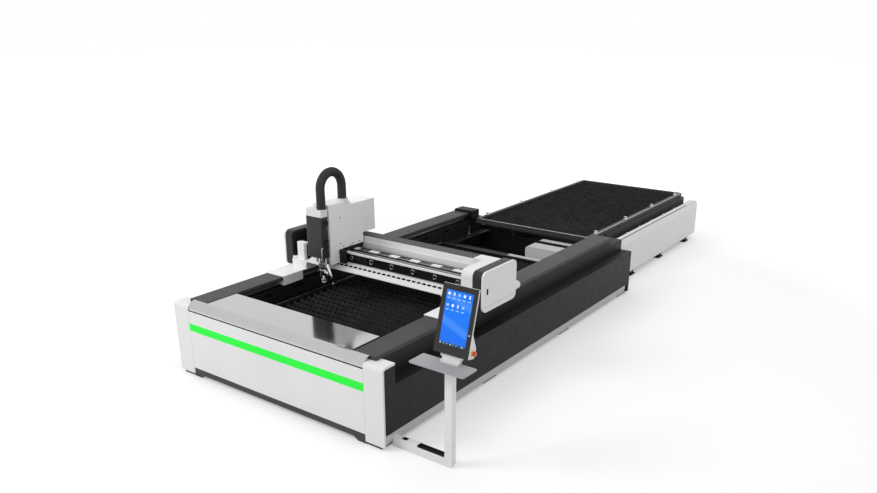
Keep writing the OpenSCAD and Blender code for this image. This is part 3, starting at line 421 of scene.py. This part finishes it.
def corrugated_hose():
    """An arch of ribbed tube: a ring pushed up, spun over and pushed down; every other ring stands out."""
    sides, rib, rib_height, slack, end_gap = 40, 7.0 * MM, 3.5 * MM, 0.1 * MM, 0.5 * MM
    lo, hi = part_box("hose")
    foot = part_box("head_cap")[1].z + end_gap
    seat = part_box("hose_collar")[1].z + end_gap
    outer = (hi.x - lo.x) / 2
    radius = outer - rib_height - slack
    x = (lo.x + hi.x) / 2
    front, rear = lo.y + outer, hi.y - outer
    bend = (rear - front) / 2
    middle = front + bend
    crown = hi.z - outer - bend
    rise, drop = crown - foot, crown - seat
    rise_ribs, drop_ribs = round(rise / rib), round(drop / rib)
    bend_ribs = round(math.pi * bend / rib)
    clear()
    bpy.ops.mesh.primitive_circle_add(vertices=sides, radius=radius, location=(x, front, foot))
    obj = begin("corrugated_hose")
    bpy.ops.mesh.select_all(action="SELECT")
    for k in range(rise_ribs):
        push(rise / rise_ribs, UP)
    bpy.ops.mesh.spin(steps=bend_ribs, angle=math.pi, center=(x, middle, crown), axis=RIGHT)
    for k in range(drop_ribs):
        push(-drop / drop_ribs, UP)

    def ring(vert):
        """The number of a vertex's ring, counted from the head."""
        if vert.co.z > crown - slack:
            turn = math.atan2(vert.co.z - crown, middle - vert.co.y)
            return rise_ribs + round(turn / math.pi * bend_ribs)
        if vert.co.y < middle:
            return round((vert.co.z - foot) / (rise / rise_ribs))
        return rise_ribs + bend_ribs + round((crown - vert.co.z) / (drop / drop_ribs))

    pick(obj, lambda v: ring(v) % 2 == 1, "VERT")
    bpy.ops.transform.shrink_fatten(value=-rib_height)
    bpy.ops.mesh.select_all(action="SELECT")
    bpy.ops.mesh.remove_doubles(threshold=MERGE)
    bpy.ops.mesh.fill_holes(sides=0)
    bpy.ops.mesh.normals_make_consistent(inside=False)
    bpy.ops.object.mode_set(mode="OBJECT")
    bpy.ops.object.shade_smooth_by_angle(angle=math.radians(75))
    paint(obj, rubber)
    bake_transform(obj)
    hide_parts("hose")


# Display

def display():
    """The lit screen on the monitor's glass, with plain app tiles and a task bar."""
    lean, glass_t = math.radians(15.5), 6.0
    screen_x, screen_z, screen_w, screen_h, screen_corner = 1.5, 281, 241, 418, 3
    bar_z, bar_h, mark_h, mark_corner = 80, 16, 8, 2.5
    marks = [(-108, 12), (-78, 9), (-48, 9), (-14, 11), (12, 7), (40, 9), (92, 24)]
    tile_left, tile_step, tile_rows = -94, 47, ((462, 5), (374, 4))
    label_drop, label_w, label_h, label_corner = 34, 28, 9, 3.5
    screen_out, tile_out, mark_out, thick, field = 0.2, 0.45, 0.7, 0.3, 0.05
    margin, corner_share = 0.06, 0.5
    up = Vector((0.0, math.sin(lean), math.cos(lean)))
    back = Vector((0.0, math.cos(lean), -math.sin(lean)))
    lo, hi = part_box("monitor_glass")
    foot = Vector(((lo.x + hi.x) / 2, lo.y, lo.z + glass_t * MM * math.sin(lean)))

    def on(x, z, out=0.0):
        """A place on the glass in millimetres: across, up the face and out from it."""
        return foot + Vector((x * MM, 0, 0)) + up * (z * MM) - back * (out * MM)

    def plate(name, x, z, wide, tall, out, corner, mat):
        clear()
        bpy.ops.mesh.primitive_cube_add(size=1.0, location=on(x, z, out), rotation=(-lean, 0, 0),
                                        scale=(wide * MM, thick * MM, tall * MM))
        obj = begin(name)
        pick(obj, lambda e: abs((e.verts[0].co - e.verts[1].co).normalized().dot(back)) > 0.9, "EDGE")
        bpy.ops.mesh.bevel(offset=corner * MM, segments=3, affect="EDGES")
        pick(obj, facing(-back))
        rim = min(wide * margin, tall * margin, corner * corner_share)
        bpy.ops.mesh.inset(thickness=rim * MM, depth=field * MM)
        done(obj, mat, "monitor")
        bpy.ops.object.shade_flat()
        return obj

    def shift(seat, first):
        return on(*seat) - on(*first)

    panel = wallpaper("display wallpaper", on(0, screen_z - screen_h / 2).z, on(0, screen_z + screen_h / 2).z)
    bright = lit("display white marks", (0.86, 0.93, 1.0), 0.95)
    soft = lit("display pale marks", (0.30, 0.60, 1.0), 0.9)
    bar_tint = finish("display task bar", (0.010, 0.030, 0.075), 0.18, tone=0.2)
    plate("display_panel", screen_x, screen_z, screen_w, screen_h, screen_out, screen_corner, panel)
    plate("display_task_bar", screen_x, bar_z, screen_w, bar_h, tile_out, screen_corner / 2, bar_tint)
    kinds = [("round_app", 24, 24, 11, bright), ("tall_app", 13, 26, 3, bright),
             ("wide_app", 24, 20, 5, soft)]
    seats = [(tile_left + tile_step * k, z) for z, count in tile_rows for k in range(count)]
    for k, (name, wide, tall, corner, mat) in enumerate(kinds):
        tile = plate(name, *seats[k], wide, tall, tile_out, corner, mat)
        copies(tile, [shift(seat, seats[k]) for seat in seats[k + 3::3]], "monitor")
    first_x, first_z = seats[0]
    label = plate("app_label", first_x, first_z - label_drop, label_w, label_h, tile_out, label_corner, soft)
    copies(label, [shift(seat, seats[0]) for seat in seats[1:]], "monitor")
    for k, (x, wide) in enumerate(marks):
        mat = bright if k in (0, 3) else soft
        plate("task_mark_%d" % k, x, bar_z, wide, mark_h, mark_out, mark_corner, mat)


# Small pieces on the gantry

def boss_rings():
    """Bright rings round the bosses on the beam's face."""
    radius, thick, wall, edge = 25, 5, 8, 1.2
    from_end, height, pitch, count = 45.5, 1003, 269, 8
    lo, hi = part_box("gantry_beam")
    centre = (hi.x - from_end * MM, lo.y - thick / 2 * MM, height * MM)
    obj = drum("boss_ring", centre, radius * MM, thick * MM, 40, (math.pi / 2, 0, 0))
    pick(obj, lambda f: abs(f.normal.y) > 0.9)
    bpy.ops.mesh.inset(thickness=wall * MM)
    bpy.ops.mesh.delete(type="FACE")
    pick(obj, lambda e: e.is_boundary, "EDGE")
    bpy.ops.mesh.bridge_edge_loops()
    ease(obj, edge * MM)
    done(obj, chrome, "gantry")
    copies(obj, [(-pitch * k * MM, 0, 0) for k in range(1, count)], "gantry")


def rack_clamps():
    """White plates that hold the rack down."""
    left, near, bottom = -522, 1664, 1036
    wide, deep, thick, corner, rim, sink = 115, 68, 6, 6, 4, 1.2
    pitch, count = 269, 6
    lo, hi = spot(left, near, bottom), spot(left + wide, near + deep, bottom + thick)
    obj = slab("rack_clamp", lo, hi, UP, corner, rim, sink, white_paint, "gantry")
    copies(obj, [(pitch * k * MM, 0, 0) for k in range(1, count)], "gantry")


def carriage_screws():
    """Cap screws with round sockets on the carriage's right face."""
    radius, head_t, socket_wall, socket_deep, edge = 7, 4, 3.15, 2.2, 0.6
    face_x = -449.5
    places = [(1464, 1419), (1459, 1145), (1504, 1105), (1613, 1094), (1649, 1106), (1755, 1106)]
    first, *others = [spot(face_x, y, z) for y, z in places]
    obj = drum("carriage_screw", first, radius * MM, head_t * MM, 24, SIDEWAYS)
    pick(obj, facing(RIGHT))
    bpy.ops.mesh.inset(thickness=socket_wall * MM)
    push(-socket_deep * MM, RIGHT)
    pick(obj, lambda e: sharp(e) and e.verts[0].co.x - first.x > (head_t / 2 - edge) * MM, "EDGE")
    bpy.ops.mesh.bevel(offset=edge * MM, segments=2, affect="EDGES")
    done(obj, satin_black, "carriage")
    copies(obj, [place - first for place in others], "carriage")


def vent_plate():
    """The small dark vent on the right end plate; its black is painted shade for the vent's openings."""
    corner, rim, sink = 3, 2.5, 1.0
    lo, hi = spot(1314, 1536, 926), spot(1316, 1560, 984)
    slab("vent_plate", lo, hi, RIGHT, corner, rim, sink, painted_shade_black, "gantry")


# Fittings on the cutting head

TOOL_X, TOOL_Y = -505, 1248


def gas_pipe():
    """A gas pipe up the front of the head, bent into the cutting head below and the cover above."""
    x, radius, sides, bend, bend_steps = -457, 7, 24, 14, 8
    start_y, turn_y, start_z = 1210, 1204, 1000
    run, nut_h, nut_share, upper_run, end = 20, 16, 1.5, 86, 4
    clear()
    bpy.ops.mesh.primitive_circle_add(vertices=sides, radius=radius * MM, location=spot(x, start_y, start_z),
                                      rotation=(math.pi / 2, 0, 0))
    obj = begin("gas_pipe")
    bpy.ops.mesh.select_all(action="SELECT")
    push((turn_y - start_y) * MM, BACK)
    bpy.ops.mesh.spin(steps=bend_steps, angle=math.pi / 2, center=spot(x, turn_y, start_z + bend), axis=RIGHT)
    push(run * MM, UP)
    for scale, length in ((nut_share, nut_h), (1 / nut_share, upper_run)):
        push(0.0, UP)
        bpy.ops.transform.resize(value=(scale, scale, 1.0))
        push(length * MM, UP)
    top = start_z + bend + run + nut_h + upper_run
    bpy.ops.mesh.spin(steps=bend_steps, angle=math.pi / 2, center=spot(x, turn_y, top), axis=RIGHT)
    push(end * MM, BACK)
    bpy.ops.mesh.select_all(action="SELECT")
    bpy.ops.mesh.remove_doubles(threshold=MERGE)
    bpy.ops.mesh.fill_holes(sides=0)
    done(obj, ground_steel, "head")


def knurled_collar():
    radius, height, z, ridge, groove, rim, step = 46, 26, 966, 1.0, 1.6, 3, 1.0
    obj = drum("knurled_collar", spot(TOOL_X, TOOL_Y, z), radius * MM, height * MM, 48)
    knurl(obj, ridge, groove)
    raise_ends(obj, rim, step)
    done(obj, chrome, "head")


def lens_ring():
    radius, height, z, bulge, edge = 44, 10, 938, 4, 1.0
    obj = drum("lens_ring", spot(TOOL_X, TOOL_Y, z), radius * MM, height * MM, 40)
    pick(obj, lambda f: abs(f.normal.z) < 0.1)
    bpy.ops.mesh.extrude_region_shrink_fatten(TRANSFORM_OT_shrink_fatten={"value": bulge * MM})
    ease(obj, edge * MM)
    done(obj, satin_black, "head")


def drawer_knob():
    """The knob of the lens drawer, on the head's left."""
    reach, z, radius, long, edge, cap_rim, neck_rim, neck = 58, 878, 15, 24, 1.2, 4, 6, 6
    obj = drum("drawer_knob", spot(TOOL_X - reach, TOOL_Y, z), radius * MM, long * MM, 32, SIDEWAYS)
    pick(obj, facing((-1, 0, 0)))
    bpy.ops.mesh.inset(thickness=cap_rim * MM, depth=cap_rim * MM)
    pick(obj, facing(RIGHT))
    bpy.ops.mesh.inset(thickness=neck_rim * MM)
    push(neck * MM, RIGHT)
    ease(obj, edge * MM)
    done(obj, chrome, "head")


def side_cap():
    """The dished cap on the head's right."""
    reach, z, radius, long, edge, rim, lip, dish = 60, 878, 24, 28, 1.2, 5, 6, 3
    obj = drum("side_cap", spot(TOOL_X + reach, TOOL_Y, z), radius * MM, long * MM, 36, SIDEWAYS)
    pick(obj, facing(RIGHT))
    bpy.ops.mesh.inset(thickness=rim * MM, depth=rim * MM)
    bpy.ops.mesh.inset(thickness=lip * MM, depth=-dish * MM)
    ease(obj, edge * MM)
    done(obj, chrome, "head")


def gas_inlet():
    """The leaning gas inlet with stepped ends, and the stub that carries it."""
    lean, radius, long, edge = math.radians(-20), 15, 120, 1.0
    centre = spot(TOOL_X + 95, TOOL_Y - 10, 905)
    obj = drum("gas_inlet", centre, radius * MM, long * MM, 28, (0, lean, 0))
    along = Vector((math.sin(lean), 0, math.cos(lean)))
    for end in (along, -along):
        pick(obj, facing(end))
        for rim, step in ((3, 8), (4, 10)):
            bpy.ops.mesh.inset(thickness=rim * MM)
            push(step * MM, end)
    ease(obj, edge * MM)
    done(obj, chrome, "head")

    stub_turn, stub_r, stub_long, stub_edge, rim, step = math.radians(70), 12, 60, 0.8, 3, 2
    root = spot(TOOL_X + 66, TOOL_Y - 6, 948)
    stub = drum("inlet_stub", root, stub_r * MM, stub_long * MM, 24, (0, stub_turn, 0))
    pick(stub, lambda f: abs(f.normal.x) > 0.8)
    bpy.ops.mesh.inset(thickness=rim * MM, depth=step * MM)
    ease(stub, stub_edge * MM)
    done(stub, ground_steel, "head")


def nozzle_rings():
    """The ceramic ring over the nozzle and the knurled nut that locks it."""
    ring_r, ring_h, ring_z, ring_rim, edge, step = 21, 12, 776, 3, 0.8, 1.5
    ring = drum("ceramic_ring", spot(TOOL_X, TOOL_Y, ring_z), ring_r * MM, ring_h * MM, 36)
    raise_ends(ring, ring_rim, step)
    ease(ring, edge * MM)
    done(ring, ceramic, "head")

    nut_r, nut_h, nut_z, nut_rim, ridge, groove = 30, 14, 800, 4, 0.8, 1.2
    nut = drum("nozzle_lock_nut", spot(TOOL_X, TOOL_Y, nut_z), nut_r * MM, nut_h * MM, 36)
    knurl(nut, ridge, groove)
    raise_ends(nut, nut_rim, step)
    done(nut, chrome, "head")


def sensor_plug():
    """A round cable plug that leans out of the head's front."""
    turn, radius, long, rim, tip, edge = (math.radians(70), 0, math.radians(40)), 9, 44, 2, 8, 0.8
    centre = spot(TOOL_X + 30, TOOL_Y - 34, 838)
    obj = drum("sensor_plug", centre, radius * MM, long * MM, 24, turn)
    axis = Euler(turn).to_matrix() @ Vector(UP)
    pick(obj, facing(axis))
    bpy.ops.mesh.inset(thickness=rim * MM)
    push(tip * MM, axis)
    pick(obj, facing(-axis))
    bpy.ops.mesh.inset(thickness=rim * MM, depth=rim * MM)
    ease(obj, edge * MM)
    done(obj, chrome, "head")


def head_blocks():
    """Black clamp blocks on the right face of the head's cover."""
    near_x, far_x, corner, rim, sink = -450.5, -440, 5, 3, 2.0
    places = ((1222, 1282, 1371, 1426), (1226, 1278, 1183, 1231), (1226, 1278, 1141, 1166))
    for k, (y0, y1, z0, z1) in enumerate(places):
        slab("head_block_%d" % (k + 1), spot(near_x, y0, z0), spot(far_x, y1, z1), RIGHT, corner, rim, sink,
             black_paint, "head")


# Strips, covers and strips of painted shade

def nose_shade_strip():
    """A black strip under the front plate's nose: painted shade for the shadowed gap there."""
    half_w, near, far, low, high, edge = 1118, 3, 38, 693.2, 699.6, 1.0
    lo, hi = spot(-half_w, near, low), spot(half_w, far, high)
    bar("nose_shade_strip", lo, hi, edge, painted_shade_black, "bed")


def crossbeam_cover():
    """The pale plate on one of the bed's cross members, with a raised field."""
    rim, step, edge = 8, 0.6, 0.8
    obj = box("crossbeam_cover", spot(20, 3961, 477.9), spot(893, 4080, 481))
    pick(obj, facing(UP))
    bpy.ops.mesh.inset(thickness=rim * MM, depth=step * MM)
    ease(obj, edge * MM)
    done(obj, pale_paint, "bed")


def table_flanges():
    """Black strips along both flanges of the table, painted shade for the groove and the channel on them, and
    the white clips on their inner edges.
    """
    near_y, low, high, edge = 4880, 591.8, 594, 0.8
    for name, near, far, end in (("edge", 975.5, 984, 7960), ("channel", 1050, 1060, 7560)):
        lo, hi = spot(near, near_y, low), spot(far, end, high)
        strip = bar("flange_%s_seal" % name, lo, hi, edge, painted_shade_black, "bed")
        copies(strip, [(-(near + far) * MM, 0, 0)], "bed")
    clip_x, clip_y, clip_z, clip_w, clip_t = 972, 5080, 592, 18, 6
    corner, rim, sink, pitch, count = 3, 2, 0.8, 430, 7
    across = -2 * clip_x - clip_w
    lo = spot(clip_x, clip_y, clip_z)
    hi = spot(clip_x + clip_w, clip_y + clip_w, clip_z + clip_t)
    clip = slab("flange_clip", lo, hi, UP, corner, rim, sink, white_paint, "bed")
    moves = [(dx * MM, pitch * MM * k, 0) for dx in (0, across) for k in range(count)]
    copies(clip, moves[1:], "bed")


def table_pans():
    """Black pans under the shuttle table's cross members, each with a turned-up rim; they hide the floor
    under the table.
    """
    half_w, low, high, corner, rim, sunk, raised, rim_area = 973, 80, 84, 20, 12, 1.5, 1.8, 0.05
    for name, near, far in (("front", 5080, 5604), ("middle", 5700, 7260), ("rear", 7362, 7850)):
        pan = box("table_pan_" + name, spot(-half_w, near, low), spot(half_w, far, high))
        pick(pan, sided(UP), "EDGE")
        bpy.ops.mesh.bevel(offset=corner * MM, segments=4, affect="EDGES")
        pick(pan, facing(UP))
        bpy.ops.mesh.inset(thickness=rim * MM)
        push(-sunk * MM, UP)
        pick(pan, lambda f: f.normal.z > 0.9 and f.calc_area() < rim_area)
        push(raised * MM, UP)
        done(pan, black_paint, "bed")


def pallet_edges():
    """Bright strips along the front and the sides of each pallet's frame."""
    proud, out, front_w, front_h, side_w, side_h = 1.5 * MM, MM, 6 * MM, 9 * MM, 9 * MM, 6 * MM
    edge = 0.6
    lo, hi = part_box("upper_pallet_frame")
    to_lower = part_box("lower_pallet_frame")[0] - lo
    across = Vector((lo.x - hi.x + side_w - out, 0, 0))
    near, far = (lo.x, lo.y - proud, hi.z - front_h), (hi.x, lo.y + front_w, hi.z + proud)
    front = bar("pallet_front_edge", near, far, edge, chrome, "upper_pallet")
    copies(front, [to_lower], "lower_pallet")
    near, far = (hi.x - side_w, lo.y + front_w, hi.z - side_h), (hi.x + out, hi.y, hi.z + proud)
    side = bar("pallet_side_edge", near, far, edge, ground_steel, "upper_pallet")
    far_side = copies(side, [across], "upper_pallet")[0]
    copies(side, [to_lower], "lower_pallet")
    copies(far_side, [to_lower], "lower_pallet")


corrugated_hose()
display()
boss_rings()
rack_clamps()
carriage_screws()
vent_plate()
gas_pipe()
knurled_collar()
lens_ring()
drawer_knob()
side_cap()
gas_inlet()
nozzle_rings()
sensor_plug()
head_blocks()
nose_shade_strip()
crossbeam_cover()
table_flanges()
table_pans()
pallet_edges()


# Camera, light and floor

def photo_camera():
    """The camera where it was solved to be from the photo's vanishing points."""
    tilt, turn = 20.86, 36.17
    data = bpy.data.cameras.new("photo_camera")
    data.sensor_width = 36.0
    data.lens = 32.51
    data.shift_x = -0.00365
    data.shift_y = 0.0725
    data.clip_end = 200.0
    cam = bpy.data.objects.new("photo_camera", data)
    bpy.context.scene.collection.objects.link(cam)
    cam.location = (5.079, -6.759, 3.427)
    cam.rotation_euler = (math.radians(90.0 - tilt), 0.0, math.radians(turn))
    bpy.context.scene.camera = cam


def soft_box(name, place, aim, size, power):
    data = bpy.data.lights.new(name, "AREA")
    data.shape = "RECTANGLE"
    data.size, data.size_y = size
    data.energy = power
    lamp = bpy.data.objects.new(name, data)
    bpy.context.scene.collection.objects.link(lamp)
    lamp.location = place
    lamp.visible_glossy = False
    lamp.rotation_euler = (Vector(aim) - Vector(place)).to_track_quat("-Z", "Y").to_euler()


def seen(tree):
    """One for what the camera sees, straight or mirrored in metal and glass."""
    path = tree.nodes.new("ShaderNodeLightPath")
    value = path.outputs["Is Camera Ray"]
    for kind in ("Is Glossy Ray", "Is Transmission Ray"):
        either = tree.nodes.new("ShaderNodeMath")
        either.operation = "MAXIMUM"
        tree.links.new(value, either.inputs[0])
        tree.links.new(path.outputs[kind], either.inputs[1])
        value = either.outputs["Value"]
    return value


def floor_finish():
    """A pale matt floor that glows more with distance, so that it runs out white and keeps the shadows."""
    near_glow, far_glow, near, far = 0.28, 1.0, 5.0, 13.0
    mat = finish("studio floor", (0.75, 0.75, 0.75), 0.7, tone=0.01, patch=0.4, grain=40.0, specular=0.1)
    tree = mat.node_tree
    shader = tree.nodes["Principled BSDF"]
    shader.inputs["Emission Color"].default_value = (1.0, 1.0, 1.0, 1.0)
    coords = tree.nodes.new("ShaderNodeTexCoord")
    away = tree.nodes.new("ShaderNodeVectorMath")
    away.operation = "LENGTH"
    tree.links.new(coords.outputs["Object"], away.inputs[0])
    glow = tree.nodes.new("ShaderNodeMath")
    glow.operation = "MULTIPLY"
    reach = spread(tree, away.outputs["Value"], near_glow, far_glow, near, far)
    tree.links.new(reach, glow.inputs[0])
    tree.links.new(seen(tree), glow.inputs[1])
    tree.links.new(glow.outputs["Value"], shader.inputs["Emission Strength"])
    return mat


def studio():
    """Two soft boxes, a white surround and the floor."""
    fill, floor_size = 0.72, 120.0
    white = (1.0, 1.0, 1.0, 1.0)
    soft_box("front_soft_box", (-6.0, -9.5, 9.0), (0.0, 0.5, 0.5), (5.0, 4.0), 600)
    soft_box("top_soft_box", (1.0, 2.0, 11.0), (0.5, 1.0, 0.0), (8.0, 10.0), 180)
    world = bpy.data.worlds.new("studio")
    world.use_nodes = True
    bpy.context.scene.world = world
    tree = world.node_tree
    back = tree.nodes["Background"]
    clear_view = tree.nodes.new("ShaderNodeBackground")
    clear_view.inputs["Strength"].default_value = 1.0
    clear_view.inputs["Color"].default_value = white
    back.inputs["Color"].default_value = white
    back.inputs["Strength"].default_value = fill
    mix = tree.nodes.new("ShaderNodeMixShader")
    tree.links.new(seen(tree), mix.inputs["Fac"])
    tree.links.new(back.outputs["Background"], mix.inputs[1])
    tree.links.new(clear_view.outputs["Background"], mix.inputs[2])
    tree.links.new(mix.outputs["Shader"], tree.nodes["World Output"].inputs["Surface"])
    clear()
    bpy.ops.mesh.primitive_plane_add(size=floor_size, location=(0.0, 0.0, 0.0))
    floor = bpy.context.object
    floor.name = "studio_floor"
    paint(floor, floor_finish())
    bpy.context.scene.view_settings.view_transform = "Standard"


photo_camera()
studio()
